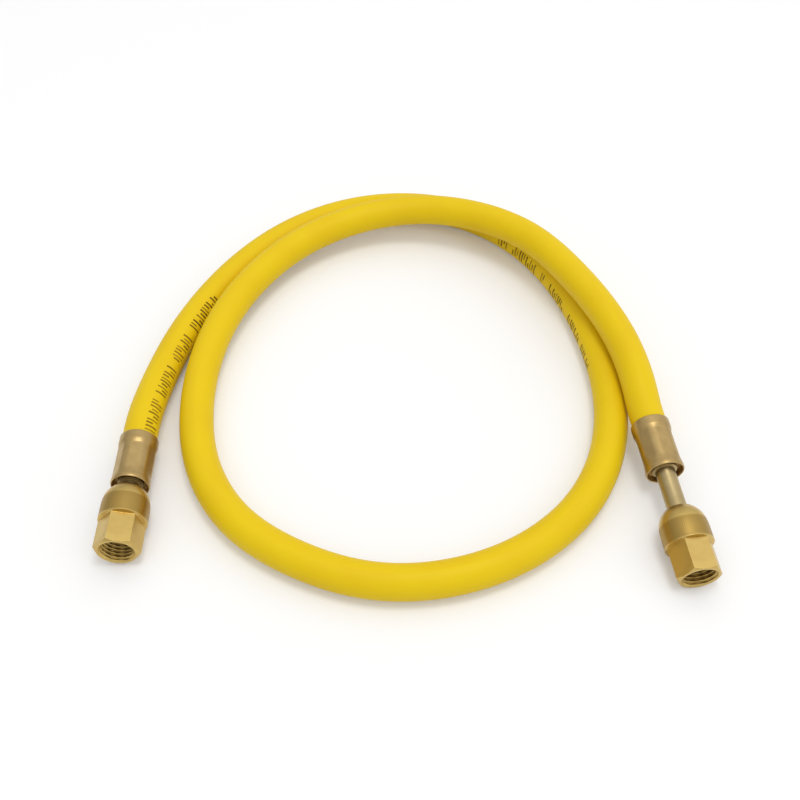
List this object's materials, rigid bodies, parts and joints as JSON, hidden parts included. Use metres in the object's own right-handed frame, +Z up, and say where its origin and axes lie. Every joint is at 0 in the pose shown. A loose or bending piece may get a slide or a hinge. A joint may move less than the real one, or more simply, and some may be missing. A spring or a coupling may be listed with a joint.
{
  "type": "refrigerant charging hose",
  "caption": "Smooth yellow rubber service hose lying in a loose coil, with a crimped brass ferrule, a short stem and a knurled hexagonal swivel nut at each end.",
  "frame": {"origin": "on the ground the hose lies on, midway between the two end fittings", "axes": "+Z up, +X from the left fitting towards the right one, and both fittings point along -Y, away from the coil"},
  "size_m": [0.1918, 0.1906, 0.0234],
  "materials": {
    "hose_rubber": "smooth satin yellow rubber cover",
    "ferrule_brass": "drawn brass, slightly dull",
    "stem_brass": "turned brass",
    "nut_brass": "turned brass with a knurled grip and milled flats",
    "gasket_rubber": "matt black rubber",
    "depressor_brass": "turned brass"
  },
  "bodies": {
    "hose_body": {"hose": "hose_rubber", "left_ferrule": "ferrule_brass", "left_stem": "stem_brass", "left_gasket": "gasket_rubber", "right_ferrule": "ferrule_brass", "right_stem": "stem_brass", "right_gasket": "gasket_rubber", "right_depressor": "depressor_brass"},
    "left_nut_body": {"left_nut": "nut_brass"},
    "right_nut_body": {"right_nut": "nut_brass"}
  },
  "joints": [
    {"name": "left_nut_spin", "type": "hinge", "parent": "hose_body", "child": "left_nut_body", "pos_m": [-0.08832, 0.0041, 0.0077], "axis": [0.0087, -1, 0], "continuous": true},
    {"name": "right_nut_spin", "type": "hinge", "parent": "hose_body", "child": "right_nut_body", "pos_m": [0.08582, -0.00471, 0.00878], "axis": [0.1249, -0.9883, -0.0872], "continuous": true}
  ]
}
